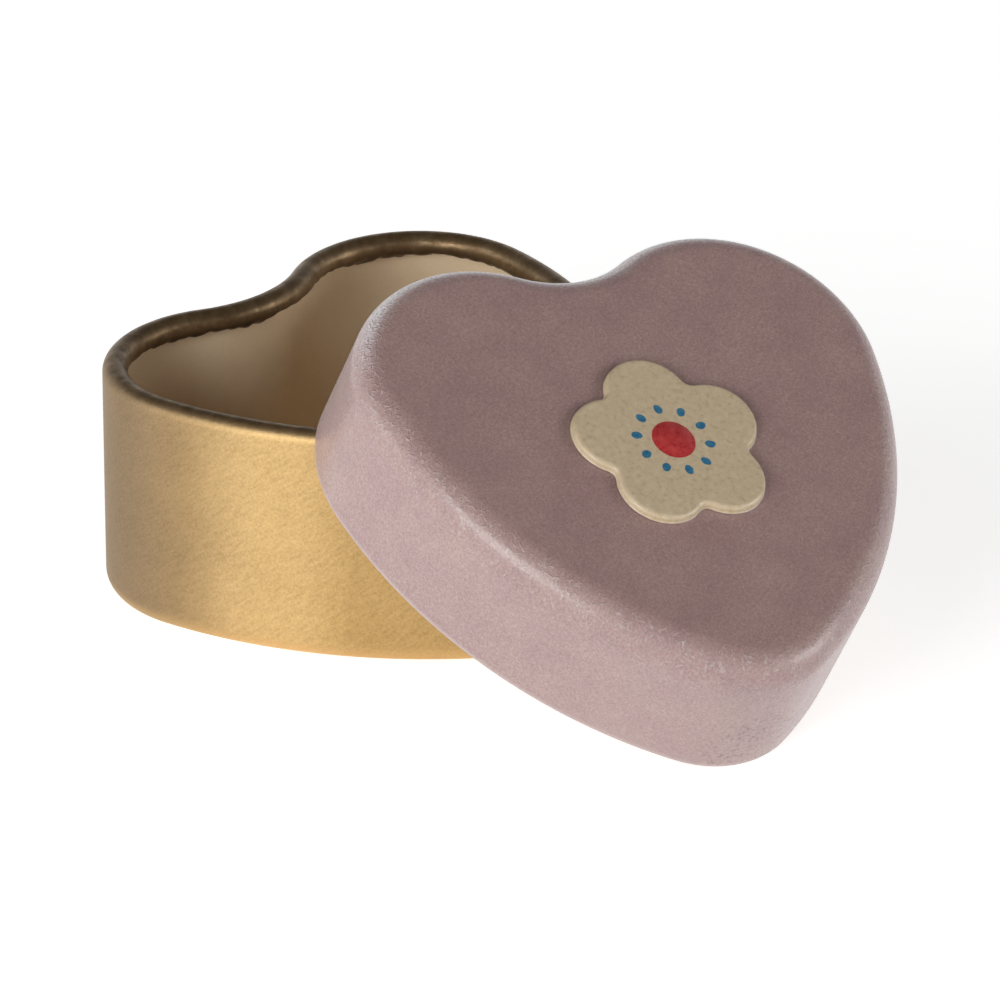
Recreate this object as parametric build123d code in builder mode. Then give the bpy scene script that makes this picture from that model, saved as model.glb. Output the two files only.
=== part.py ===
from build123d import *
import math
import os

# A small heart-shaped keepsake tin in two pressings: a drawn body with a bead rolled round its
# mouth, and a drawn slip lid, taken off and leaning on the body with its tip on the ground.
# Lengths are in millimetres and angles in degrees. The origin is the middle of the body's
# underside, +Y points to the notch of the heart and +Z is up.

# Heart outline of the body, outside its wall
heart_width = 52.0
heart_length = 48.6
lobe_radius = 13.2
notch_radius = 13.8
flank_radius = 45.5
tip_radius = 9.7

# Body
body_sheet = 0.3
body_height = 24.1
body_corner_radius = 2.0
bead_radius = 1.25
bead_turn = 270

# Lid, with the clearance that its hem has round the bead when the lid is on
lid_sheet = 0.3
lid_depth = 15.3
lid_corner_radius = 3.0
hem_radius = 0.5
hem_height = 1.2
slip_clearance = 0.8

# Blossom pressed up out of the lid, with a low domed boss in its middle
blossom_offset = 1.0
blossom_rise = 0.85
petal_count = 5
petal_ring_radius = 5.7
petal_radius = 4.3
petal_valley_radius = 1.1
boss_radius = 2.2
boss_rise = 0.35
pressed_edge_share = 0.55
pressed_foot_share = 0.35
level_slack = 0.01

# How the lid leans: the way its notch points in plan, counted from +X, and where its tip and its
# two resting places lie in plan, as shares of the heart's width and of its length
lid_heading = 72.6
tip_place_shares = (-0.183, -1.054)
left_rest_shares = (-0.379, -0.146)
right_rest_shares = (0.285, -0.256)
lean_clearance = 0.12
ground_clearance = 0.05
settling_passes = 30

# Sizes that follow from the above
hem_width = 2 * hem_radius
lid_growth = slip_clearance + hem_width
hem_line_growth = lid_growth - hem_radius
bead_line_height = body_height - bead_radius
blossom_top = lid_depth + blossom_rise


def meeting_point(first, first_reach, second, second_reach):
    """Point at the given reach from each of two centres, left of the way between them."""
    way = second - first
    along = (first_reach**2 - second_reach**2 + way.length**2) / (2 * way.length)
    across = math.sqrt(first_reach**2 - along**2)
    ahead = way.normalized()
    return first + ahead * along + Vector(-ahead.Y, ahead.X) * across


def bearing(start, end):
    """Angle of the way from one point to another, counted from +X."""
    return math.degrees(math.atan2(end.Y - start.Y, end.X - start.X))


# Centres of the four arcs of the heart's right half, each arc tangent to the next
lobe_centre = Vector(heart_width / 2 - lobe_radius, heart_length / 2 - lobe_radius)
tip_centre = Vector(0, tip_radius - heart_length / 2)
notch_drop = math.sqrt((notch_radius + lobe_radius) ** 2 - lobe_centre.X**2)
notch_centre = Vector(0, lobe_centre.Y + notch_drop)
flank_centre = meeting_point(
    tip_centre, flank_radius - tip_radius, lobe_centre, flank_radius - lobe_radius
)

# Bearings at which each arc hands over to the next
notch_end = bearing(notch_centre, lobe_centre)
lobe_start = bearing(lobe_centre, notch_centre)
lobe_end = bearing(flank_centre, lobe_centre)
flank_end = bearing(flank_centre, tip_centre)


def half_outline(growth):
    """Right half of the heart from notch to tip, the given distance outside the body's wall."""
    CenterArc(notch_centre, notch_radius - growth, -90, 90 + notch_end)
    CenterArc(lobe_centre, lobe_radius + growth, lobe_start, lobe_end - lobe_start)
    CenterArc(flank_centre, flank_radius + growth, lobe_end, flank_end - lobe_end)
    CenterArc(tip_centre, tip_radius + growth, flank_end, -90 - flank_end)


def heart_outline(growth):
    """Whole heart, the given distance outside the body's wall."""
    half_outline(growth)
    mirror(about=Plane.YZ)


def heart_path(plane, growth):
    """Closed path round the heart, laid on a plane."""
    with BuildLine() as path:
        heart_outline(growth)
    return path.wire().moved(plane.location)


def section_plane(plane, growth):
    """Plane across the wall in the notch, with its X outwards and its Y up the wall."""
    notch_floor = notch_centre.Y - notch_radius + growth
    start = plane.from_local_coords(Vector(0, notch_floor, 0))
    return Plane(origin=start, x_dir=plane.y_dir, z_dir=plane.x_dir)


def hem_lines(plane):
    """Middle lines of the left and right halves of the lid's hem, for a lid on a plane."""
    with BuildLine() as half:
        half_outline(hem_line_growth)
    right = half.wire()
    left = right.mirror(Plane.YZ)
    place = plane.offset(hem_radius).location
    return left.moved(place), right.moved(place)


def plane_on_posts(heights):
    """Plane of the lid's lower edge, on posts under its tip and its left and right rests."""
    shares = (tip_place_shares, left_rest_shares, right_rest_shares)
    tip, left, right = (
        Vector(heart_width * across, heart_length * along, height)
        for (across, along), height in zip(shares, heights)
    )
    normal = (right - tip).cross(left - tip).normalized()
    x_dir = Vector(1, 0, 0).rotate(Axis.Z, lid_heading).cross(normal).normalized()
    hem_tip_reach = heart_length / 2 + hem_line_growth
    origin = tip + normal.cross(x_dir) * hem_tip_reach - normal * hem_radius
    return Plane(origin=origin, x_dir=x_dir, z_dir=normal)


def leaning_plane():
    """Lets the lid settle: each pass moves every post by what its clearance still lacks."""
    bead_line = heart_path(Plane.XY.offset(bead_line_height), -bead_radius)
    rest_reach = bead_radius + hem_radius + lean_clearance
    ground_reach = hem_radius + ground_clearance
    heights = [ground_reach, body_height, body_height]
    for _ in range(settling_passes):
        plane = plane_on_posts(heights)
        left, right = hem_lines(plane)
        gaps = (left.distance_to(bead_line), right.distance_to(bead_line))
        lowest = min(side.bounding_box().min.Z for side in (left, right))
        heights[0] += ground_reach - lowest
        heights[1] += rest_reach - gaps[0]
        heights[2] += rest_reach - gaps[1]
    print("last clearances", [round(gap - bead_radius - hem_radius, 4) for gap in gaps])
    print("last height over ground", round(lowest - hem_radius, 4))
    return plane


lid_plane = leaning_plane()
lid_axis = Axis(lid_plane.origin, lid_plane.z_dir)
print("tilt of the lid", round(lid_plane.z_dir.get_angle(Vector(0, 0, 1)), 2))

# Body: one section of sheet carried round the heart, from the flat base up into the bead
with BuildPart() as tin_body:
    with BuildSketch(section_plane(Plane.XY, 0)):
        with BuildLine():
            corner_centre = (-body_corner_radius, body_corner_radius)
            bead_centre = (-bead_radius, bead_line_height)
            outer_corner = CenterArc(corner_centre, body_corner_radius, -90, 90)
            inner_corner = CenterArc(corner_centre, body_corner_radius - body_sheet, -90, 90)
            outer_bead = CenterArc(bead_centre, bead_radius, 0, bead_turn)
            inner_bead = CenterArc(bead_centre, bead_radius - body_sheet, 0, bead_turn)
            Line(outer_corner @ 1, outer_bead @ 0)
            Line(outer_bead @ 1, inner_bead @ 1)
            Line(inner_bead @ 0, inner_corner @ 1)
            Line(inner_corner @ 0, outer_corner @ 0)
        make_face()
    sweep(path=heart_path(Plane.XY, 0))
    with BuildSketch():
        with BuildLine():
            heart_outline(-body_corner_radius)
        make_face()
    extrude(amount=body_sheet)


def blossom(shrink):
    """Round petals with filleted valleys between them, drawn in by the given distance."""
    radius = petal_radius - shrink
    half_turn = 180 / petal_count
    petal_middle = Vector(petal_ring_radius, 0)
    valley_line = petal_middle.rotate(Axis.Z, half_turn).normalized()
    middle_height = petal_ring_radius * math.sin(math.radians(half_turn))
    middle_reach = petal_ring_radius * math.cos(math.radians(half_turn))
    valley = valley_line * (middle_reach + math.sqrt(radius**2 - middle_height**2))
    opening = bearing(petal_middle, valley)
    with BuildSketch() as outline:
        with BuildLine():
            for petal in range(petal_count):
                turn = 90 + 2 * half_turn * petal
                middle = Vector(0, blossom_offset) + petal_middle.rotate(Axis.Z, turn)
                CenterArc(middle, radius, turn - opening, 2 * opening)
        make_face()
        fillet(outline.vertices(), petal_valley_radius + shrink)
    return outline.sketch


def blossom_middle(height):
    """Middle of the blossom at a height on the lid."""
    return lid_plane.from_local_coords(Vector(0, blossom_offset, height))


def edges_round(outline, height):
    """Edges of the part in hand that follow a pressed outline at a height on the lid."""
    level = edges().filter_by_position(lid_axis, height - level_slack, height + level_slack)
    return level.sort_by_distance(blossom_middle(height))[: len(outline.edges())]


def dome(height, radius, mode):
    """Low round dome in the middle of the blossom, on a height on the lid."""
    foot = blossom_middle(height)
    upright = Plane(origin=foot, x_dir=lid_plane.x_dir, z_dir=-lid_plane.y_dir)
    with BuildSketch(upright) as half_section:
        with BuildLine():
            crown = TangentArc((0, boss_rise), (radius, 0), tangent=(1, 0))
            Polyline(crown @ 1, (0, 0), crown @ 0)
        make_face()
    revolve(half_section.sketch, axis=Axis(foot, lid_plane.z_dir), mode=mode)


# Lid: one section carried round a larger heart, from the roof down into the folded hem
with BuildPart() as lid:
    with BuildSketch(section_plane(lid_plane, lid_growth)):
        with BuildLine():
            corner_centre = (-lid_corner_radius, lid_depth - lid_corner_radius)
            hem_centre = (-hem_radius, hem_radius)
            outer_corner = CenterArc(corner_centre, lid_corner_radius, 0, 90)
            inner_corner = CenterArc(corner_centre, lid_corner_radius - lid_sheet, 0, 90)
            hem = CenterArc(hem_centre, hem_radius, 0, -180)
            Line(hem @ 0, outer_corner @ 0)
            Line(outer_corner @ 1, inner_corner @ 1)
            Polyline(inner_corner @ 0, (-lid_sheet, hem_height), (-hem_width, hem_height), hem @ 1)
        make_face()
    sweep(path=heart_path(lid_plane, lid_growth))
    with BuildSketch(lid_plane.offset(lid_depth - lid_sheet)):
        with BuildLine():
            heart_outline(lid_growth - lid_corner_radius)
        make_face()
    extrude(amount=lid_sheet)
    with BuildSketch(lid_plane.offset(lid_depth)) as raised:
        add(blossom(0))
    extrude(amount=blossom_rise)
    fillet(edges_round(raised, blossom_top), pressed_edge_share * blossom_rise)
    fillet(edges_round(raised, lid_depth), pressed_foot_share * blossom_rise)
    with BuildSketch(lid_plane.offset(lid_depth - lid_sheet)):
        add(blossom(lid_sheet))
    extrude(amount=blossom_rise, mode=Mode.SUBTRACT)
    dome(blossom_top, boss_radius, Mode.ADD)
    dome(blossom_top - lid_sheet, boss_radius - lid_sheet, Mode.SUBTRACT)

tin_body.part.label = "tin_body"
lid.part.label = "lid"

os.makedirs("parts", exist_ok=True)
export_step(tin_body.part, "parts/tin_body.step")
export_step(lid.part, "parts/lid.step")
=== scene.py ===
# %% [markdown]
# # A heart-shaped tin and its leaning lid
#
# A keepsake tin of this kind is pressed from two sheets of tinplate. The lower sheet is drawn
# into a heart-shaped cup, and its raw edge is curled inwards into a bead. The upper sheet is a
# shallower cap with a soft edge, a folded hem and a blossom pressed out of its roof.
#
# The measured solids come first, as a fixed frame in metres. Everything after this cell gives
# them the look of the real thing and never moves them.

# %% Load the measured solids
import bmesh
import bpy
from math import atan2, cos, pi, radians, sin, sqrt
from mathutils import Matrix, Vector, noise


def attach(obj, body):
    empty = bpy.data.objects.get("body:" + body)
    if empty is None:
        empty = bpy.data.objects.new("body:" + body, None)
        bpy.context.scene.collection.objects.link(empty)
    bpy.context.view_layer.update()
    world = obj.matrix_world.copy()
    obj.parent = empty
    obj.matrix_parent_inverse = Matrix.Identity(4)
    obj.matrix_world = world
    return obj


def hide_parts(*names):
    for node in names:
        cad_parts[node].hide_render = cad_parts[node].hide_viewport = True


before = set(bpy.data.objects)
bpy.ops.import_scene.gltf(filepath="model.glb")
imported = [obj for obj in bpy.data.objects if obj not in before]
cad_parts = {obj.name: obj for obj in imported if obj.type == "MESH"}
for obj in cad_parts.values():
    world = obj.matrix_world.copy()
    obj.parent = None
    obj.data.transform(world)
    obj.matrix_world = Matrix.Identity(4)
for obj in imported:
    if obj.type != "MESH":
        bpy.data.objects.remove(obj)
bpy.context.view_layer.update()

# %% [markdown]
# ## Camera
#
# The photograph was taken from a little above the table with a long lens, so the tin shows
# almost no perspective. The camera stands about 0.9 m away and its lens is so long that the
# object fills the frame.

# %% Camera
camera_data = bpy.data.cameras.new("camera")
camera_data.sensor_width = 36
camera_data.lens = 333.76
camera = bpy.data.objects.new("camera", camera_data)
bpy.context.collection.objects.link(camera)
camera.location = (-0.59576, -0.56919, 0.39687)
aim = Vector((0.01825, 0.00517, 0.0))
camera.rotation_euler = (aim - camera.location).to_track_quat("-Z", "Y").to_euler()
bpy.context.scene.camera = camera
print("camera is", round((aim - camera.location).length, 3), "m from what it looks at")

# %% [markdown]
# ## Sizes of the tin
#
# The same sizes as in the solids, in metres. A heart outline is drawn here the way a tool maker
# would draw it: half of it is four arcs that run smoothly into each other, round the notch,
# round the lobe, along the flank and round the tip, and the other half is its mirror image.

# %% Sizes
MM = 0.001
heart_width = 52.0 * MM
heart_length = 48.6 * MM
lobe_radius = 13.2 * MM
notch_radius = 13.8 * MM
flank_radius = 45.5 * MM
tip_radius = 9.7 * MM
sheet = 0.3 * MM
tin_height = 24.1 * MM
foot_radius = 2.0 * MM
curl_radius = 1.25 * MM
lid_depth = 15.3 * MM
lid_corner_radius = 3.0 * MM
hem_radius = 0.5 * MM
hem_height = 1.2 * MM
lid_growth = 1.8 * MM
blossom_offset = 1.0 * MM
blossom_rise = 0.85 * MM
petal_count = 5
petal_ring = 5.7 * MM
petal_radius = 4.3 * MM
valley_radius = 1.1 * MM
boss_radius = 2.2 * MM
boss_rise = 0.35 * MM
merge_distance = 1e-7

# %% [markdown]
# Where two arcs meet smoothly, their centres and the meeting point lie on one line. So the
# centre of the long flank arc is found from its distances to the two centres beside it, and the
# turn of every arc is the angle between two such lines.

# %% The four arcs of half a heart
def bearing(start, end):
    """Angle of the way from one point to another, counted from +X."""
    return atan2(end.y - start.y, end.x - start.x)


def left_meeting(first, first_reach, second, second_reach):
    """Point at the given reach from each of two centres, left of the way between them."""
    way = second - first
    along = (first_reach**2 - second_reach**2 + way.length**2) / (2 * way.length)
    across = sqrt(first_reach**2 - along**2)
    ahead = way.normalized()
    return first + ahead * along + Vector((-ahead.y, ahead.x)) * across


lobe = Vector((heart_width / 2 - lobe_radius, heart_length / 2 - lobe_radius))
tip = Vector((0, tip_radius - heart_length / 2))
notch = Vector((0, lobe.y + sqrt((notch_radius + lobe_radius) ** 2 - lobe.x**2)))
flank = left_meeting(tip, flank_radius - tip_radius, lobe, flank_radius - lobe_radius)

heart_arcs = [
    (notch, notch_radius, bearing(notch, lobe) + pi / 2),
    (lobe, lobe_radius, bearing(flank, lobe) - bearing(lobe, notch)),
    (flank, flank_radius, bearing(flank, tip) - bearing(flank, lobe)),
    (tip, tip_radius, -pi / 2 - bearing(flank, tip)),
]
notch_floor = notch.y - notch_radius
print("arcs turn by", [round(turn * 180 / pi, 1) for _, _, turn in heart_arcs], "degrees")

# %% [markdown]
# ## Carrying a section round an outline
#
# A pressed sheet has the same section all the way round: rounded foot, straight wall, curl. So
# the section is drawn once, as a chain of edges, and the Spin operator carries it round one arc
# after another. Each arc has its own centre, and the chain that one spin ends with starts the
# next. Because the arcs run smoothly into each other, the spun surfaces do too, and it makes no
# difference how far outside or inside the outline a point of the section lies.
#
# Every point also remembers how far it is along the outline and along the section. Those two
# lengths, in millimetres, become the UV map, as if the sheet were unrolled on a table.

# %% Section and spin
def arc_points(centre, radius, start, turn, steps):
    """Points along an arc of a section, as pairs of (outwards, up)."""
    angles = [start + turn * n / steps for n in range(steps + 1)]
    return [(centre[0] + radius * cos(a), centre[1] + radius * sin(a)) for a in angles]


def line_points(start, end, steps):
    """Points along a straight stretch of a section, without its two ends."""
    shares = [n / steps for n in range(1, steps)]
    return [tuple(a + (b - a) * share for a, b in zip(start, end)) for share in shares]


def new_sheet():
    """An empty mesh whose points remember their two lengths and their part of the section."""
    bm = bmesh.new()
    for name in ("along", "up", "part"):
        bm.verts.layers.float.new(name)
    return bm


def draw_section(bm, points, start_y, part_starts, count_by=1):
    """Chain of edges in the plane of symmetry. part_starts are the points where parts begin."""
    layers = bm.verts.layers.float
    verts = []
    length = 0.0
    for n, (out, up) in enumerate(points):
        vert = bm.verts.new((0, start_y + out, up))
        if verts:
            length += (vert.co - verts[-1].co).length
        vert[layers["up"]] = length * count_by
        vert[layers["part"]] = sum(n >= start for start in part_starts)
        verts.append(vert)
    edges = [bm.edges.new(pair) for pair in zip(verts, verts[1:])]
    return verts + edges


def carry_round(bm, section, arcs, step):
    """Spins the chain round each arc in turn, a short step at a time."""
    along = bm.verts.layers.float["along"]
    travelled = 0.0
    ends = section
    for centre, radius, turn in arcs:
        steps = max(2, round(abs(turn) * radius / step))
        for _ in range(steps):
            spun = bmesh.ops.spin(
                bm, geom=ends, cent=(centre.x, centre.y, 0), axis=(0, 0, 1), dvec=(0, 0, 0),
                angle=turn / steps, steps=1, use_merge=False, use_duplicate=False,
            )
            ends = spun["geom_last"]
            travelled += abs(turn) / steps * radius
            for vert in ends:
                if isinstance(vert, bmesh.types.BMVert):
                    vert[along] = travelled
    return travelled


# %% [markdown]
# Four more steps turn a spun half into a finished piece: the other half is added as its mirror
# image, flat faces are filled in between the open outlines, the remembered lengths are written
# to the UV map, and the mesh becomes an object that rides on one body of the frame. An edge
# stays sharp only where the sheet really has one, so shading is smooth everywhere else.

# %% From a mesh to a piece
def mirror_half(bm):
    """Adds the left half and joins the two halves where they meet."""
    everything = bm.verts[:] + bm.edges[:] + bm.faces[:]
    bmesh.ops.mirror(bm, geom=everything, matrix=Matrix(), merge_dist=1e-6, axis="X")
    bmesh.ops.remove_doubles(bm, verts=bm.verts[:], dist=merge_distance)


def fill_level(bm, level, facing, slack=1e-6):
    """Flat faces at a height, inside the outermost open outline and round any within it."""
    outlines = [
        edge for edge in bm.edges
        if edge.is_boundary and all(abs(vert.co.z - level) <= slack for vert in edge.verts)
    ]
    bmesh.ops.triangle_fill(bm, use_beauty=True, edges=outlines, normal=(0, 0, facing))


def unroll(bm):
    """UV map with the length along the outline and the length along the section, in mm."""
    layers = bm.verts.layers.float
    unrolled = bm.loops.layers.uv.new("unrolled")
    for face in bm.faces:
        side = -1 if face.calc_center_median().x < 0 else 1
        for loop in face.loops:
            along = loop.vert[layers["along"]] * side / MM
            loop[unrolled].uv = (along, loop.vert[layers["up"]] / MM)


def finish_piece(bm, name, body, materials, sharp_degrees=40):
    """Turns the mesh into an object that rides on a body of the frame."""
    mesh = bpy.data.meshes.new(name)
    bm.to_mesh(mesh)
    bm.free()
    for material in materials:
        mesh.materials.append(material)
    mesh.shade_smooth()
    mesh.set_sharp_from_angle(angle=radians(sharp_degrees))
    piece = bpy.data.objects.new(name, mesh)
    bpy.context.collection.objects.link(piece)
    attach(piece, body)
    size = [round(side / MM, 2) for side in piece.dimensions]
    print(name, "has", len(mesh.polygons), "faces and is", size, "mm")
    return piece


# %% [markdown]
# ## Building finishes from nodes
#
# All finishes are procedural. A small helper adds a node, sets its inputs and wires what is
# passed as a socket, so that a finish reads as a list of what it is made of.

# %% Helpers that add nodes
def new_finish(name):
    """A material, its node tree and the shader that its finish is wired into."""
    material = bpy.data.materials.new(name)
    material.use_nodes = True
    tree = material.node_tree
    return material, tree, tree.nodes["Principled BSDF"]


def wire(tree, target, inputs):
    """Sets inputs of a node. A socket is linked, and anything else is a fixed value."""
    for key, value in inputs.items():
        if isinstance(value, bpy.types.NodeSocket):
            tree.links.new(value, target.inputs[key])
        else:
            target.inputs[key].default_value = value


def node(tree, kind, inputs=(), **settings):
    """Adds a node. inputs pairs a socket's name or number with a value or another socket."""
    made = tree.nodes.new("ShaderNode" + kind)
    for key, value in settings.items():
        setattr(made, key, value)
    wire(tree, made, dict(inputs))
    return made


def maths(tree, operation, first, second=0.0):
    """One step of arithmetic, with one or two numbers."""
    return node(tree, "Math", {0: first, 1: second}, operation=operation).outputs[0]


def vector_maths(tree, operation, *vectors):
    """One step of arithmetic with vectors, which gives a vector or a measured length."""
    made = node(tree, "VectorMath", dict(enumerate(vectors)), operation=operation)
    return made.outputs["Value" if operation in ("DISTANCE", "LENGTH") else "Vector"]


# %% [markdown]
# Most finishes need the same few things: a place to sample, a cloud of noise there, a share that
# fades in over some span, and a way to lay one colour over another. Lengths are in millimetres,
# so that the scale of a noise is easy to read: scale 4 has features of a quarter millimetre.

# %% Helpers that shape a finish
def place_in_mm(tree):
    """Object coordinates in millimetres."""
    place = node(tree, "TexCoord").outputs["Object"]
    return vector_maths(tree, "MULTIPLY", place, (1 / MM, 1 / MM, 1 / MM))


def plan_distance(tree, place, spot):
    """Distance from a spot seen from above, in millimetres."""
    in_plan = vector_maths(tree, "MULTIPLY", place, (1, 1, 0))
    return vector_maths(tree, "DISTANCE", in_plan, (*spot, 0))


def cloud(tree, vector, scale, detail=2.0, roughness=0.5, distortion=0.0, output="Fac"):
    """Noise between about 0 and 1, with features of 1 / scale millimetres."""
    inputs = {
        "Vector": vector, "Scale": scale, "Detail": detail,
        "Roughness": roughness, "Distortion": distortion,
    }
    return node(tree, "TexNoise", inputs).outputs[output]


def between(tree, value, low, high, to_low=0.0, to_high=1.0, smooth=True):
    """Maps a value from one span to another, and stops at the ends."""
    inputs = {
        "Value": value, "From Min": low, "From Max": high,
        "To Min": to_low, "To Max": to_high,
    }
    curve = "SMOOTHSTEP" if smooth else "LINEAR"
    return node(tree, "MapRange", inputs, interpolation_type=curve).outputs["Result"]


def times(tree, first, *others):
    """Product of several values."""
    product = first
    for other in others:
        product = maths(tree, "MULTIPLY", product, other)
    return product


def band(tree, value, rise, fall):
    """1 between two slopes and 0 beyond them. A slope runs from where it is 0 to where 1."""
    return times(tree, between(tree, value, *rise), between(tree, value, *fall))


def sum_of(tree, first, *shares):
    """A value, and others added to it, each as a pair of (value, share)."""
    total = first
    for value, share in shares:
        total = maths(tree, "ADD", total, times(tree, value, share))
    return total


def steps_of(tree, value, stops):
    """Colour ramp with the given (position, colour) stops."""
    ramp = node(tree, "ValToRGB", {"Fac": value})
    elements = ramp.color_ramp.elements
    while len(elements) < len(stops):
        elements.new(0.5)
    for element, (position, colour) in zip(elements, stops):
        element.position = position
        element.color = (*colour, 1)
    return ramp.outputs["Color"]


def mix(tree, share, first, second):
    """The share of the second colour laid over the first."""
    return node(tree, "Mix", {0: share, 6: first, 7: second}, data_type="RGBA").outputs[2]


def lay_over(tree, colour, layers):
    """Lays colours over a first one in turn, each as a pair of (share, colour)."""
    for share, layer in layers:
        colour = mix(tree, share, colour, (*layer, 1))
    return colour


def raise_by(tree, surface, height, strength, depth):
    """Gives a shader small bumps from a height map, as deep as the given length."""
    bump = node(tree, "Bump", {"Strength": strength, "Distance": depth, "Height": height})
    wire(tree, surface, {"Normal": bump.outputs["Normal"]})


# %% [markdown]
# ## Gold lacquer outside the tin
#
# The outside is tinplate under a thin gold lacquer, rubbed rather than polished. Three things
# make it look like that: a metallic surface that is fairly rough, a fine uneven grain in both
# its colour and its height, and short rubbed marks that all lean the same way. The marks follow
# the sheet, so they are drawn on the unrolled map.
#
# A painted shade makes the lacquer dull and brownish on the left lobe, and painted highlights
# make it bright in one place on the left flank and on the lower part of the rounded foot.
# Neither has an edge, so each is a distance from a spot in plan, or a height, that fades out.
#
# The same sheet goes on over the curl. So the finish ends in a dark old bronze tone above the
# shoulder of the curl, along an uneven line, which is partly the curl's own aged tone and partly
# painted shade for the dark ceiling it faces, and in a nearly black painted shade under the
# curl, where the raw edge is.

# %% Where the gold changes
# Heights up the sheet, places in plan and reaches round them in mm, and a lean in degrees
# painted highlight on the lower part of the rounded foot: where it fades in, in mm up the sheet
foot_highlight_span = (3.9, 2.6)
# where the gold turns to dark bronze, partly the curl's own tone and partly painted shade
bronze_and_shade_line = (24.8, 26.4)
# painted shade under the curl: where it fades in, in mm up the sheet
curl_underside_shade_span = (28.7, 29.9)
# painted highlight on the left flank: its spot in plan and how far it reaches
highlight_spot, highlight_reach = (-21.5, -1.5), (3.0, 9.8)
# painted shade on the left lobe: its spot in plan and how far it reaches
shade_spot, shade_reach = (-25, 18), (5.5, 22.5)
mark_lean = 36
print("gold turns to bronze from", bronze_and_shade_line[0], "to", bronze_and_shade_line[1], "mm up the sheet")


# %% Gold lacquer
def gold_lacquer():
    material, tree, surface = new_finish("gold_lacquer")
    place = place_in_mm(tree)
    unrolled = node(tree, "UVMap", uv_map="unrolled").outputs["UV"]
    up = node(tree, "SeparateXYZ", {"Vector": unrolled}).outputs["Y"]
    lean = {"Vector": unrolled, "Rotation": (0, 0, radians(mark_lean))}
    leaning = node(tree, "Mapping", lean).outputs["Vector"]
    drawn_out = vector_maths(tree, "MULTIPLY", leaning, (0.55, 2.7, 1))
    grain = cloud(tree, place, 3.8, detail=3.0, roughness=0.7)
    marks = cloud(tree, drawn_out, 1.0, detail=4.0, roughness=0.62, distortion=0.3)
    patches = cloud(tree, place, 0.16)

    tone = sum_of(tree, times(tree, grain, 0.46), (marks, 0.42), (patches, 0.12))
    gold = steps_of(tree, tone, [
        (0.30, (0.355, 0.224, 0.080)),
        (0.50, (0.515, 0.341, 0.139)),
        (0.70, (0.640, 0.440, 0.198)),
    ])
    # Lighter and darker copies of the gold, for a painted highlight and a painted shade
    painted_highlight_gold = steps_of(tree, tone, [(0.30, (0.475, 0.315, 0.130)), (0.70, (0.815, 0.575, 0.278))])
    painted_shade_gold = steps_of(tree, tone, [(0.30, (0.215, 0.150, 0.090)), (0.70, (0.330, 0.240, 0.155))])
    from_highlight_spot = plan_distance(tree, place, highlight_spot)
    from_shade_spot = sum_of(tree, plan_distance(tree, place, shade_spot), (patches, 3.0))
    # Painted highlight round a spot on the left flank, then painted shade round a spot on the
    # left lobe
    gold = mix(tree, between(tree, from_highlight_spot, *highlight_reach, 0.8, 0.0), gold, painted_highlight_gold)
    gold = mix(tree, between(tree, from_shade_spot, *shade_reach, 0.80, 0.0), gold, painted_shade_gold)
    # Painted highlight: brighter gold on the lower part of the rounded foot
    painted_foot_highlight = between(tree, up, *foot_highlight_span, 0.0, 0.4)
    gold = lay_over(tree, gold, [(painted_foot_highlight, (0.76, 0.51, 0.225))])

    worn = cloud(tree, place, 1.7, detail=5.0, roughness=0.7)
    tarnish = cloud(tree, place, 0.7, detail=6.0, roughness=0.62, distortion=0.3)
    curl = between(tree, sum_of(tree, up, (worn, 0.5)), *bronze_and_shade_line)
    # Dark bronze on the curl: partly its own aged tone, partly painted shade for the dark
    # ceiling it faces
    bronze_and_shade = steps_of(tree, tarnish, [
        (0.30, (0.128, 0.078, 0.034)),
        (0.52, (0.196, 0.127, 0.062)),
        (0.72, (0.278, 0.190, 0.104)),
    ])
    # Painted shade: nearly black under the curl, where the raw edge is
    painted_curl_underside_shade = between(tree, sum_of(tree, up, (tarnish, 0.9)), *curl_underside_shade_span, 0.0, 0.7)
    bronze_and_shade = lay_over(tree, bronze_and_shade, [(painted_curl_underside_shade, (0.040, 0.024, 0.012))])

    gold_gloss = between(tree, marks, 0.3, 0.7, 0.50, 0.62, smooth=False)
    curl_gloss = between(tree, tarnish, 0.3, 0.7, 0.48, 0.30, smooth=False)
    wire(tree, surface, {
        "Base Color": mix(tree, curl, gold, bronze_and_shade),
        "Metallic": between(tree, curl, 0, 1, 0.9, 0.62),
        "Roughness": node(tree, "Mix", {0: curl, 2: gold_gloss, 3: curl_gloss}).outputs[0],
    })
    height = sum_of(tree, grain, (marks, 0.5), (times(tree, tarnish, curl), 2.6))
    raise_by(tree, surface, height, strength=0.35, depth=0.06 * MM)
    return material


gold = gold_lacquer()
print("made", gold.name)

# %% [markdown]
# ## Beige lacquer inside
#
# Inside, both pieces carry the plain beige lacquer that keeps food tins from rusting. It is
# smoother than the outside and slightly pearly, so it shows soft upright bands of light.

# %% Beige lacquer
def beige_lacquer():
    material, tree, surface = new_finish("beige_lacquer")
    place = place_in_mm(tree)
    speck = cloud(tree, place, 4.0, detail=3.0, roughness=0.6)
    patches = cloud(tree, place, 0.12, detail=3.0)
    tone = sum_of(tree, times(tree, speck, 0.4), (patches, 0.6))
    beige = steps_of(tree, tone, [
        (0.32, (0.800, 0.618, 0.410)),
        (0.52, (0.850, 0.678, 0.462)),
        (0.72, (0.885, 0.733, 0.530)),
    ])
    wire(tree, surface, {
        "Base Color": beige,
        "Metallic": 0.15,
        "Roughness": between(tree, patches, 0.3, 0.7, 0.30, 0.42),
    })
    raise_by(tree, surface, speck, strength=0.12, depth=0.05 * MM)
    return material


beige = beige_lacquer()
print("made", beige.name)

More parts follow.
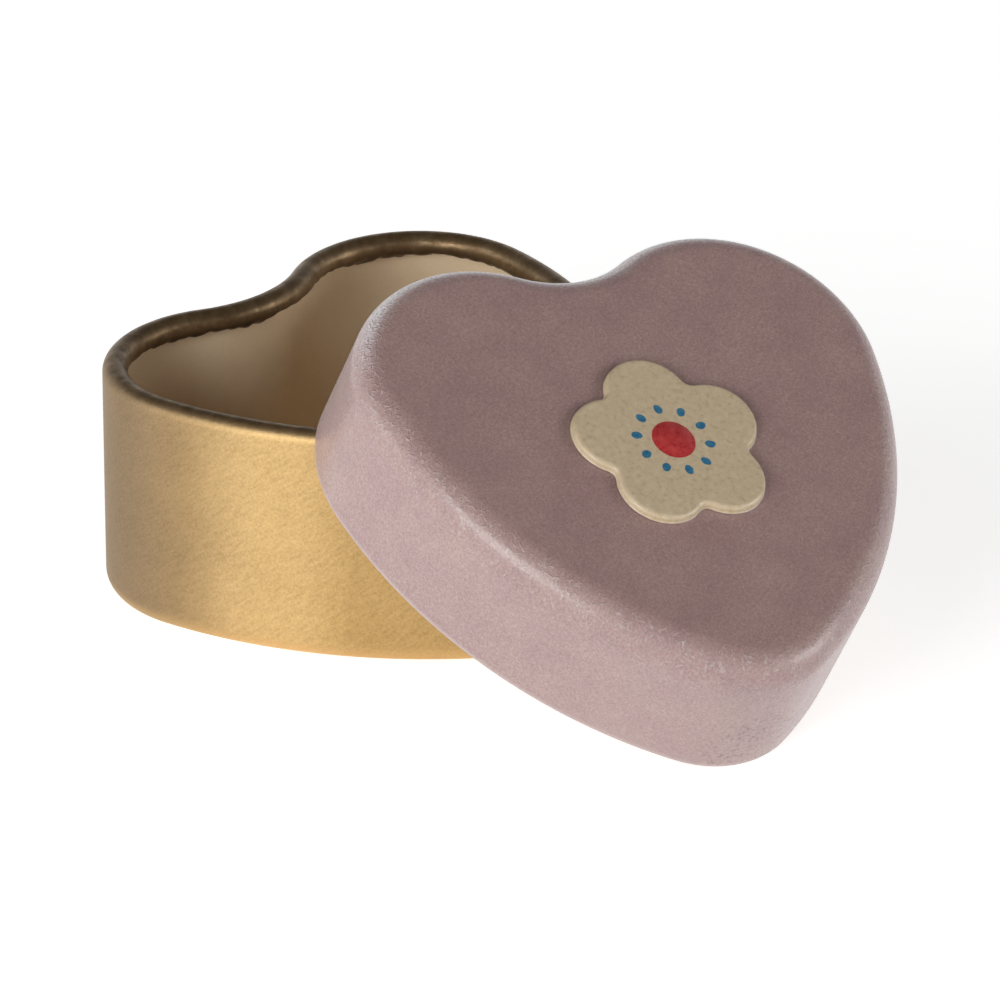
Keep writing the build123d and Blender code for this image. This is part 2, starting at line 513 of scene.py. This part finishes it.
# %% [markdown]
# ## The tin
#
# One closed chain of points is the whole section: a little of the flat base, the rounded foot,
# the wall, three quarters of a turn of curl, and back down inside, one sheet thickness further
# in. The two strips of flat base at its ends keep the shading of the rounded foot from running
# out over the wide flat faces.

# %% Section of the tin
foot_centre = (-foot_radius, foot_radius)
curl_centre = (-curl_radius, tin_height - curl_radius)
outer_foot = arc_points(foot_centre, foot_radius, -pi / 2, pi / 2, 10)
outer_curl = arc_points(curl_centre, curl_radius, 0, 1.5 * pi, 30)
inner_curl = arc_points(curl_centre, curl_radius - sheet, 1.5 * pi, -1.5 * pi, 22)
inner_foot = arc_points(foot_centre, foot_radius - sheet, 0, -pi / 2, 8)
base_strip = foot_radius + 0.5 * MM

tin_section = [(-base_strip, 0), *outer_foot]
tin_section += line_points(outer_foot[-1], outer_curl[0], 14)
curl_start = len(tin_section)
tin_section += outer_curl + inner_curl
inside_start = len(tin_section)
tin_section += line_points(inner_curl[-1], inner_foot[0], 14)
tin_section += [*inner_foot, (-base_strip, sheet)]
print("the section has", len(tin_section), "points")
print("its curl starts at point", curl_start, "and its inside at point", inside_start)

# %% Outline of the tin
tin_step = 0.35 * MM
tin = new_sheet()
section = draw_section(tin, tin_section, notch_floor, (curl_start, inside_start))
half_way = carry_round(tin, section, heart_arcs, tin_step)
mirror_half(tin)
print("half the outline is", round(half_way / MM, 1), "mm long")

# %% [markdown]
# The curl of a small tin is never even: the raw edge is wavy, and the rolling tool leaves flats
# and dimples. Noise moves the points of the curl up and down, not at all over its first quarter
# and then more and more towards the raw edge. So its shoulder keeps its true size, and its crest
# very nearly does.
#
# How far a point is rolled is counted out along the curl's outer side and back along its inner
# side, so that both sides of the sheet move together.

# %% Uneven curl
even_share = 0.25
wave_drop = 0.32 * MM
nick_drop = 0.30 * MM
part = tin.verts.layers.float["part"]
up = tin.verts.layers.float["up"]
curl_foot = min(vert[up] for vert in tin.verts if vert[part] == 1)
curl_turn = 1.5 * pi * curl_radius
there_and_back = 2.05
for vert in tin.verts:
    if vert[part] != 1:
        continue
    rolled = (vert[up] - curl_foot) / curl_turn
    rolled = min(rolled, max(0.0, there_and_back - rolled), 1.0)
    uneven = max(0.0, rolled - even_share) / (1 - even_share)
    plan = Vector((vert.co.x, vert.co.y, 0)) / MM
    waves = noise.noise(plan * 0.25) + 0.9 * noise.noise(plan * 0.6)
    nicks = noise.noise(plan * 1.2 + Vector((7, 3, 1))) + 0.2 * noise.noise(plan * 2.2)
    vert.co.z += uneven**2 * (wave_drop * waves + nick_drop * nicks)
print("the sheet of the curl is", round(curl_turn / MM, 1), "mm long")

# %% Body of the tin
bmesh.ops.recalc_face_normals(tin, faces=tin.faces[:])
fill_level(tin, 0, facing=-1)
fill_level(tin, sheet, facing=1)
unroll(tin)
bmesh.ops.recalc_face_normals(tin, faces=tin.faces[:])
for face in tin.faces:
    inside = all(vert[part] == 2 for vert in face.verts)
    face.material_index = 1 if inside else 0
tin_piece = finish_piece(tin, "tin_sheet", "tin", [gold, beige])
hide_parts("tin_body")

# %% [markdown]
# ## Pink wrinkle lacquer
#
# The lid wears a lacquer that shrinks a little as it dries and pulls into a fine leathery skin.
# Seen flat on it is just a speckled dusty pink. Where the surface turns and catches a light,
# the skin shows as short curved wrinkles. They are the borders of small cells, bent by noise and
# broken into short bits by a second noise.

# %% Wrinkles of the skin
def broken_wrinkles(tree, place):
    """1 on short bits of the borders between bent cells, and 0 elsewhere."""
    swirl = cloud(tree, place, 0.9, output="Color")
    bend = vector_maths(tree, "MULTIPLY", swirl, (1.5, 1.5, 1.5))
    bent = vector_maths(tree, "ADD", place, bend)
    cells = {"Vector": bent, "Scale": 1.1, "Randomness": 1.0}
    borders = node(tree, "TexVoronoi", cells, feature="DISTANCE_TO_EDGE").outputs["Distance"]
    off_border = between(tree, borders, 0.0, 0.14)
    bits = between(tree, cloud(tree, place, 1.9), 0.47, 0.58)
    return times(tree, maths(tree, "SUBTRACT", 1.0, off_border), bits)


# %% [markdown]
# The colour starts as grains of mauve and brown. Then painted light and shade and dark wrinkles
# are laid over it, from the roof down: a painted shade darkens the roof and the top of the
# rounding, painted highlights run along the wrinkles of the rounding over a faint painted light
# on all the sheet below the roof, a pale painted highlight with a thin bright line on top lies
# on the rounding at the lobes, a painted light makes the skirt paler, most of all beside the
# tip, the wrinkles low down at the tip are drawn dark, and a pale painted highlight runs along
# the hem. Lengths down the sheet that are below 0 belong to the blossom's pressed edge, so the
# painted shade in the fold at its foot is found there.

# %% Where the pink changes
# Lengths down the sheet, or along the outline from the notch, all in mm
off_roof = (0.6, 2.2)
off_rounding = (7.5, 4.5)
# painted shade on the roof: where it fades out down the sheet
roof_painted_shade = (1.0, 5.4)
# painted light on the skirt: where it fades in down the sheet, and beside the tip
onto_skirt = (4.5, 7.0)
beside_tip = (-56.0, -70.0)
near_lobes = (32.0, 22.0)
# painted highlight at the lobes: its span down the sheet
pale_highlight_band = ((1.4, 2.7), (5.5, 4.2))
# thin painted highlight at the lobes: its span down the sheet
thin_highlight_band = ((2.0, 2.7), (4.2, 3.4))
low_on_skirt = (8.0, 12.0)
right_of_tip = (half_way / MM - 15, half_way / MM - 8)
round_tip = (half_way / MM - 5, half_way / MM - 1)
# painted highlight along the hem: its span down the sheet
hem_highlight_span = ((16.7, 17.3), (18.6, 18.0))
# painted shade in the fold at the blossom's foot: its span down the sheet
blossom_fold_shade_span = (-0.12, -0.32)
print("the rounding lies between", off_roof[0], "and", roof_painted_shade[1], "mm down the sheet")


# %% Pink lacquer
def pink_lacquer():
    material, tree, surface = new_finish("pink_lacquer")
    place = place_in_mm(tree)
    unrolled = node(tree, "UVMap", uv_map="unrolled").outputs["UV"]
    lengths = node(tree, "SeparateXYZ", {"Vector": unrolled}).outputs
    along, down = lengths["X"], lengths["Y"]
    off_notch = maths(tree, "ABSOLUTE", along)
    past_roof = between(tree, down, *off_roof)
    on_edge = times(tree, past_roof, between(tree, down, *off_rounding, 0.15, 1.0))

    grain = cloud(tree, place, 4.0, detail=4.0, roughness=0.72)
    blotches = cloud(tree, place, 0.20, detail=3.0, roughness=0.6)
    wrinkles = broken_wrinkles(tree, place)
    tone = sum_of(tree, times(tree, grain, 0.80), (blotches, 0.20))
    mauve = steps_of(tree, tone, [
        (0.30, (0.310, 0.194, 0.186)),
        (0.50, (0.450, 0.294, 0.286)),
        (0.70, (0.610, 0.440, 0.425)),
    ])
    brown = steps_of(tree, tone, [
        (0.30, (0.315, 0.200, 0.180)),
        (0.50, (0.455, 0.302, 0.278)),
        (0.70, (0.615, 0.447, 0.414)),
    ])
    pink = mix(tree, between(tree, blotches, 0.38, 0.62), mauve, brown)

    # Painted light: the skirt lighter, most of all beside the tip
    skirt_light_share = between(tree, along, *beside_tip, 0.08, 0.20)
    painted_skirt_light = times(tree, between(tree, down, *onto_skirt), skirt_light_share)
    # Painted highlights: pale glints along the wrinkles of the rounding, over a faint painted
    # light on all of the sheet below the roof
    glint_lines = times(tree, wrinkles, on_edge, 0.36)
    painted_glints = times(tree, past_roof, maths(tree, "ADD", glint_lines, 0.03))
    at_lobes = between(tree, off_notch, *near_lobes)
    # Painted highlight: a pale grainy band on the upper rounding at the lobes
    pale_highlight_grain = between(tree, grain, 0.35, 0.6, 0.15, 0.50)
    painted_pale_highlight = times(tree, at_lobes, band(tree, down, *pale_highlight_band), pale_highlight_grain)
    # Painted highlight: a thin bright grainy line at the lobes, over the pale one
    thin_highlight_grain = between(tree, grain, 0.40, 0.56, 0.2, 0.9)
    painted_thin_highlight = times(tree, at_lobes, band(tree, down, *thin_highlight_band), thin_highlight_grain)
    at_tip = maths(
        tree, "MAXIMUM",
        between(tree, along, *right_of_tip), between(tree, off_notch, *round_tip),
    )
    # The wrinkles low down at the tip are drawn dark
    dark_tip_wrinkles = times(tree, wrinkles, at_tip, between(tree, down, *low_on_skirt, 0.0, 0.6))
    pink = lay_over(tree, pink, [
        # painted shade: the roof and the top of the rounding darker
        (between(tree, down, *roof_painted_shade, 0.19, 0.0), (0.20, 0.09, 0.07)),
        (painted_skirt_light, (0.62, 0.50, 0.50)),
        (painted_glints, (0.74, 0.64, 0.64)),
        (painted_pale_highlight, (0.78, 0.68, 0.68)),
        (painted_thin_highlight, (0.92, 0.86, 0.87)),
        (dark_tip_wrinkles, (0.15, 0.09, 0.075)),
        # Painted highlight: a pale line along the hem
        (times(tree, band(tree, down, *hem_highlight_span), 0.45), (0.78, 0.68, 0.66)),
        # Painted shade: a dark line in the fold at the blossom's foot
        (between(tree, down, *blossom_fold_shade_span, 0.0, 0.55), (0.10, 0.065, 0.055)),
    ])
    wire(tree, surface, {
        "Base Color": pink,
        "Roughness": between(tree, grain, 0.3, 0.7, 0.58, 0.40),
        "Coat Weight": 0.65,
        "Coat Roughness": 0.24,
        "Sheen Weight": 0.18,
        "Sheen Roughness": 0.35,
        "Sheen Tint": (0.92, 0.86, 0.94, 1),
    })
    strength = maths(tree, "ADD", times(tree, on_edge, 0.88), 0.12)
    height = sum_of(tree, times(tree, wrinkles, strength, 1.6), (grain, 1.1))
    raise_by(tree, surface, height, strength=0.6, depth=0.09 * MM)
    return material


pink = pink_lacquer()
print("made", pink.name)

# %% [markdown]
# ## Enamel on the blossom
#
# The pressed blossom is painted by hand over the pink: cream on the petals, a red boss in the
# middle and small blue dots round it. Enamel is thick and smooth, so it is glossier than the
# lacquer and nearly hides its grain. The dots are placed on the plan map, which holds the lid's
# own sideways and lengthways millimetres: the angle round the middle is cut into equal slices,
# and each slice gets one dot at the same distance out.

# %% Plain enamel
def enamel(name, stops):
    material, tree, surface = new_finish(name)
    place = place_in_mm(tree)
    mottle = cloud(tree, place, 1.8, detail=4.0, roughness=0.6)
    colour = steps_of(tree, mottle, stops)
    wire(tree, surface, {
        "Base Color": colour,
        "Roughness": between(tree, mottle, 0.3, 0.7, 0.26, 0.38),
    })
    grain = cloud(tree, place, 3.2, detail=3.0)
    raise_by(tree, surface, grain, strength=0.25, depth=0.04 * MM)
    return material, tree, surface, place, colour


red = enamel("red_enamel", [
    (0.30, (0.42, 0.030, 0.034)),
    (0.52, (0.52, 0.048, 0.048)),
    (0.74, (0.62, 0.085, 0.075)),
])[0]
print("made", red.name)


# %% Enamel with dots
def dotted_enamel(ring_mm, count, dot_mm):
    material, tree, surface, place, cream = enamel("cream_enamel", [
        (0.30, (0.590, 0.460, 0.295)),
        (0.52, (0.650, 0.520, 0.345)),
        (0.72, (0.710, 0.585, 0.405)),
    ])
    plan = node(tree, "UVMap", uv_map="plan").outputs["UV"]
    middle = (0, blossom_offset / MM, 0)
    centred = vector_maths(tree, "SUBTRACT", plan, middle)
    reach = vector_maths(tree, "LENGTH", centred)
    parts = node(tree, "SeparateXYZ", {"Vector": centred}).outputs
    slices = times(tree, maths(tree, "ARCTAN2", parts["Y"], parts["X"]), count / (2 * pi))
    within = maths(tree, "SUBTRACT", maths(tree, "FRACT", slices), 0.5)
    turn = times(tree, within, 2 * pi / count)
    ahead = maths(tree, "SUBTRACT", times(tree, reach, maths(tree, "COSINE", turn)), ring_mm)
    aside = times(tree, reach, maths(tree, "SINE", turn))
    away = node(tree, "CombineXYZ", {0: times(tree, ahead, 0.8), 1: aside}).outputs[0]
    brushed = sum_of(tree, vector_maths(tree, "LENGTH", away), (cloud(tree, place, 1.3), 0.22))
    dot = between(tree, brushed, dot_mm + 0.13, dot_mm + 0.07)
    blue = steps_of(tree, cloud(tree, place, 2.5), [
        (0.35, (0.030, 0.150, 0.270)),
        (0.65, (0.060, 0.230, 0.370)),
    ])
    wire(tree, surface, {"Base Color": mix(tree, dot, cream, blue)})
    return material


cream = dotted_enamel(ring_mm=3.7, count=10, dot_mm=0.44)
print("made", cream.name)

# %% [markdown]
# ## The lid
#
# The lid is built level, with its hem on the ground plane, and laid in its leaning place at the
# end. Its section runs from the roof over the soft edge, down the skirt, round the folded hem
# and back up inside. The folded part is the outside of the sheet, so it stays pink.

# %% Section of the lid
corner_centre = (lid_growth - lid_corner_radius, lid_depth - lid_corner_radius)
hem_centre = (lid_growth - hem_radius, hem_radius)
outer_corner = arc_points(corner_centre, lid_corner_radius, pi / 2, -pi / 2, 16)
hem = arc_points(hem_centre, hem_radius, 0, -pi, 12)
fold_top = [(lid_growth - 2 * hem_radius, hem_height), (lid_growth - sheet, hem_height)]
inner_corner = arc_points(corner_centre, lid_corner_radius - sheet, 0, pi / 2, 12)
roof_strip = lid_growth - lid_corner_radius - 0.6 * MM

lid_section = [(roof_strip, lid_depth), *outer_corner]
lid_section += line_points(outer_corner[-1], hem[0], 10)
lid_section += hem + fold_top
lid_inside = len(lid_section)
lid_section += line_points(lid_section[-1], inner_corner[0], 8)
lid_section += [*inner_corner, (roof_strip, lid_depth - sheet)]
print("the lid's section has", len(lid_section), "points")

# %% [markdown]
# ## The blossom
#
# The outline of the blossom is made of arcs as well: a petal, a small valley, the next petal.
# So the same trick works once more. The section of the pressed edge, with a soft foot and a
# soft shoulder, is spun round a petal's centre, then the other way round the valley's centre,
# five times over. The boss in the middle is a low dome, spun round the blossom's own centre.

# %% Arcs of the blossom
slice_turn = 2 * pi / petal_count
blossom_centre = Vector((0, blossom_offset))
blossom_step = 0.22 * MM
valley_reach = petal_ring * cos(slice_turn / 2) + sqrt(
    (petal_radius + valley_radius) ** 2 - (petal_ring * sin(slice_turn / 2)) ** 2
)


def round_blossom(reach, slices):
    """Point at a distance from the blossom's middle, some slices round from its top petal."""
    angle = pi / 2 - slices * slice_turn
    return blossom_centre + Vector((reach * cos(angle), reach * sin(angle)))


petal_turn = pi / 2 - bearing(round_blossom(petal_ring, 0), round_blossom(valley_reach, 0.5))
valley_turn = 2 * petal_turn - slice_turn
blossom_arcs = [(round_blossom(petal_ring, 0), petal_radius, -petal_turn)]
for n in range(petal_count):
    last = n == petal_count - 1
    next_turn = -petal_turn if last else -2 * petal_turn
    blossom_arcs.append((round_blossom(valley_reach, n + 0.5), valley_radius, valley_turn))
    blossom_arcs.append((round_blossom(petal_ring, n + 1), petal_radius, next_turn))
print("a petal turns by", round(2 * petal_turn * 180 / pi, 1), "degrees")
print("a valley turns by", round(valley_turn * 180 / pi, 1), "degrees")


# %% Pressing the blossom into a sheet
def press_blossom(bm, roof, inset, foot, shoulder, parts):
    """Spun band of the blossom's edge on a roof, and the dome in its middle."""
    top = roof + blossom_rise
    flat_strip = 0.15 * MM
    band_points = [(foot + flat_strip - inset, roof)]
    band_points += arc_points((foot - inset, roof + foot), foot, -pi / 2, -pi / 2, 6)
    edge_start = len(band_points) - 4
    shoulder_centre = (-shoulder - inset, top - shoulder)
    band_points += arc_points(shoulder_centre, shoulder, 0, pi / 2, 8)
    band_points += [(-shoulder - flat_strip - inset, top)]
    petal_top = blossom_offset + petal_ring + petal_radius
    part_starts = [0] * parts[0] + [edge_start] * (parts[1] - parts[0])
    chain = draw_section(bm, band_points, petal_top, part_starts, count_by=-1)
    carry_round(bm, chain, blossom_arcs, blossom_step)

    radius = boss_radius - inset
    bend = (radius**2 + boss_rise**2) / (2 * boss_rise)
    opening = 2 * atan2(boss_rise, radius)
    dome_strip = 0.12 * MM
    dome_centre = (0, top + boss_rise - bend)
    dome = [(radius + dome_strip, top)]
    dome += arc_points(dome_centre, bend, pi / 2 - opening, opening, 8)
    part_starts = [0] * parts[1] + [1] * (parts[2] - parts[1])
    chain = draw_section(bm, dome, blossom_offset, part_starts)
    bmesh.ops.spin(
        bm, geom=chain, cent=(0, blossom_offset, 0), axis=(0, 0, 1), dvec=(0, 0, 0),
        angle=2 * pi, steps=48, use_merge=True, use_duplicate=False,
    )


# %% [markdown]
# The roof of the lid is filled in flat between the outlines: round the blossom, round the boss,
# and the same again on the underside, one sheet thickness lower. The underside follows the
# pressing, because a press pushes one sheet, so it is as thick at the blossom as elsewhere. Its
# round corners share their centres with those outside.

# %% Sheet of the lid
lid_step = 0.45 * MM
pressed_foot = 0.35 * blossom_rise
pressed_shoulder = 0.55 * blossom_rise
under_roof = lid_depth - sheet
under_foot = pressed_foot + sheet
under_shoulder = pressed_shoulder - sheet
lid = new_sheet()
section = draw_section(lid, lid_section, notch_floor, (lid_inside,))
carry_round(lid, section, heart_arcs, lid_step)
mirror_half(lid)
press_blossom(lid, lid_depth, 0, pressed_foot, pressed_shoulder, parts=(0, 2, 3))
press_blossom(lid, under_roof, sheet, under_foot, under_shoulder, parts=(1, 1, 1))
bmesh.ops.remove_doubles(lid, verts=lid.verts[:], dist=merge_distance)
for level, facing in ((lid_depth, 1), (under_roof, -1)):
    for height in (level, level + blossom_rise):
        fill_level(lid, height, facing)
bmesh.ops.recalc_face_normals(lid, faces=lid.faces[:])
print("open edges left on the lid:", sum(edge.is_boundary for edge in lid.edges))

# %% Finishes and maps of the lid
part = lid.verts.layers.float["part"]
for face in lid.faces:
    parts = {round(vert[part]) for vert in face.verts}
    face.material_index = 1 if 1 in parts else min(parts)
unroll(lid)
plan = lid.loops.layers.uv.new("plan")
for face in lid.faces:
    for loop in face.loops:
        loop[plan].uv = (loop.vert.co.x / MM, loop.vert.co.y / MM)
print("the lid has", len(lid.faces), "faces and the maps", lid.loops.layers.uv.keys())

# %% [markdown]
# Now the lid is laid where its solid leans. The roof of that solid is flat, so the facet that
# looks largest from above lies on it and faces the way that is up for the lid. Seen from above,
# the notch points along a known bearing and the hem's tip is over a known spot. Its height there
# follows from the roof's plane.
#
# Three directions, sideways, lengthways and up, become the columns of a matrix, and the matrix
# moves every point of the mesh. The object itself stays unturned.

# %% Leaning place
notch_bearing = radians(72.6)
tip_spot = Vector((-0.183 * heart_width, -1.054 * heart_length))
hem_reach = heart_length / 2 + lid_growth - hem_radius

lid_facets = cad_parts["lid"].data.polygons
roof_facet = max(lid_facets, key=lambda facet: facet.area * facet.normal.z)
upwards = roof_facet.normal
heading = Vector((cos(notch_bearing), sin(notch_bearing), 0))
sideways = heading.cross(upwards).normalized()
lengthways = upwards.cross(sideways)
print("the lid leans by", round(upwards.angle((0, 0, 1)) * 180 / pi, 2), "degrees")

# %% Laying the lid down
hem_level = upwards.dot(roof_facet.center) - lid_depth + hem_radius
tip_height = (hem_level - upwards.xy.dot(tip_spot)) / upwards.z
hem_tip = Vector((*tip_spot, tip_height))
resting_point = hem_tip + lengthways * hem_reach - upwards * hem_radius
turned = Matrix((sideways, lengthways, upwards)).transposed().to_4x4()
leaning_place = Matrix.Translation(resting_point) @ turned
bmesh.ops.transform(lid, matrix=leaning_place, verts=lid.verts[:])
lid_piece = finish_piece(lid, "lid_sheet", "lid", [pink, beige, cream, red])
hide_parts("lid")

# %% [markdown]
# ## Floor
#
# The floor is plain white paper. What the camera and shiny surfaces see of it is lifted to
# white with a little light of its own, and the rest of it still darkens under the tin, so a
# soft shadow stays. Rays that carry light to the object see plain paper.

# %% Floor
def paper():
    material, tree, surface = new_finish("paper")
    wire(tree, surface, {"Base Color": (0.92, 0.92, 0.92, 1), "Roughness": 0.9})
    rays = node(tree, "LightPath").outputs
    seen = maths(tree, "MAXIMUM", rays["Is Camera Ray"], rays["Is Glossy Ray"])
    seen = maths(tree, "MAXIMUM", seen, rays["Is Transmission Ray"])
    glow = node(tree, "Emission", {"Color": (1, 1, 1, 1), "Strength": 0.70}).outputs[0]
    plain = node(tree, "BsdfDiffuse", {"Color": (0.85, 0.85, 0.85, 1)}).outputs[0]
    lifted = node(tree, "AddShader", {0: glow, 1: plain}).outputs[0]
    mixed = node(tree, "MixShader", {0: seen, 1: surface.outputs[0], 2: lifted}).outputs[0]
    wire(tree, tree.nodes["Material Output"], {"Surface": mixed})
    return material


floor_drop = 0.03 * MM
bpy.ops.mesh.primitive_plane_add(size=4, location=(0, 0, -floor_drop))
floor = bpy.context.object
floor.name = "floor"
floor.data.materials.append(paper())
print("floor is", floor.dimensions.x, "m wide")

# %% [markdown]
# ## Light
#
# The light comes from low down: a bright ring of sky round the horizon, as from white walls,
# and a dim ceiling. Three broad lamps add to it. The strongest stands in front of the tin, a
# little left of the camera, a weak one far to the left, and one low down on the right, which
# lights the end of the lid's skirt. That is why the upright walls are bright and the lid's roof,
# which faces the ceiling, is much darker.

# %% World
world = bpy.data.worlds.new("studio")
bpy.context.scene.world = world
world.use_nodes = True
sky = world.node_tree
direction = node(sky, "TexCoord").outputs["Generated"]
rise = node(sky, "SeparateXYZ", {"Vector": direction}).outputs["Z"]
wall_light, ceiling_light = 0.85, 0.03
brightness = between(sky, rise, 0.25, 0.60, wall_light, ceiling_light)
wire(sky, sky.nodes["Background"], {"Color": (1, 1, 1, 1), "Strength": brightness})
print("walls shine with", wall_light, "and the ceiling with", ceiling_light)


# %% Lamps
def broad_lamp(name, left_of_camera, elevation, width, height, watts):
    """Lamp that faces the tin from 1 m away, placed by two angles in degrees."""
    data = bpy.data.lights.new(name, "AREA")
    data.shape = "RECTANGLE"
    data.size = width
    data.size_y = height
    data.energy = watts
    lamp = bpy.data.objects.new(name, data)
    bpy.context.collection.objects.link(lamp)
    to_camera = camera.location - aim
    around = atan2(to_camera.y, to_camera.x) - radians(left_of_camera)
    rise = radians(elevation)
    lamp.location = aim + Vector((cos(rise) * cos(around), cos(rise) * sin(around), sin(rise)))
    lamp.rotation_euler = (aim - lamp.location).to_track_quat("-Z", "Y").to_euler()


broad_lamp("front_lamp", 30, 20, width=0.5, height=0.5, watts=5.0)
broad_lamp("left_lamp", 80, 20, width=0.5, height=0.5, watts=1.4)
broad_lamp("right_lamp", -82, 8, width=0.5, height=0.40, watts=3.4)
bpy.context.scene.view_settings.view_transform = "Standard"
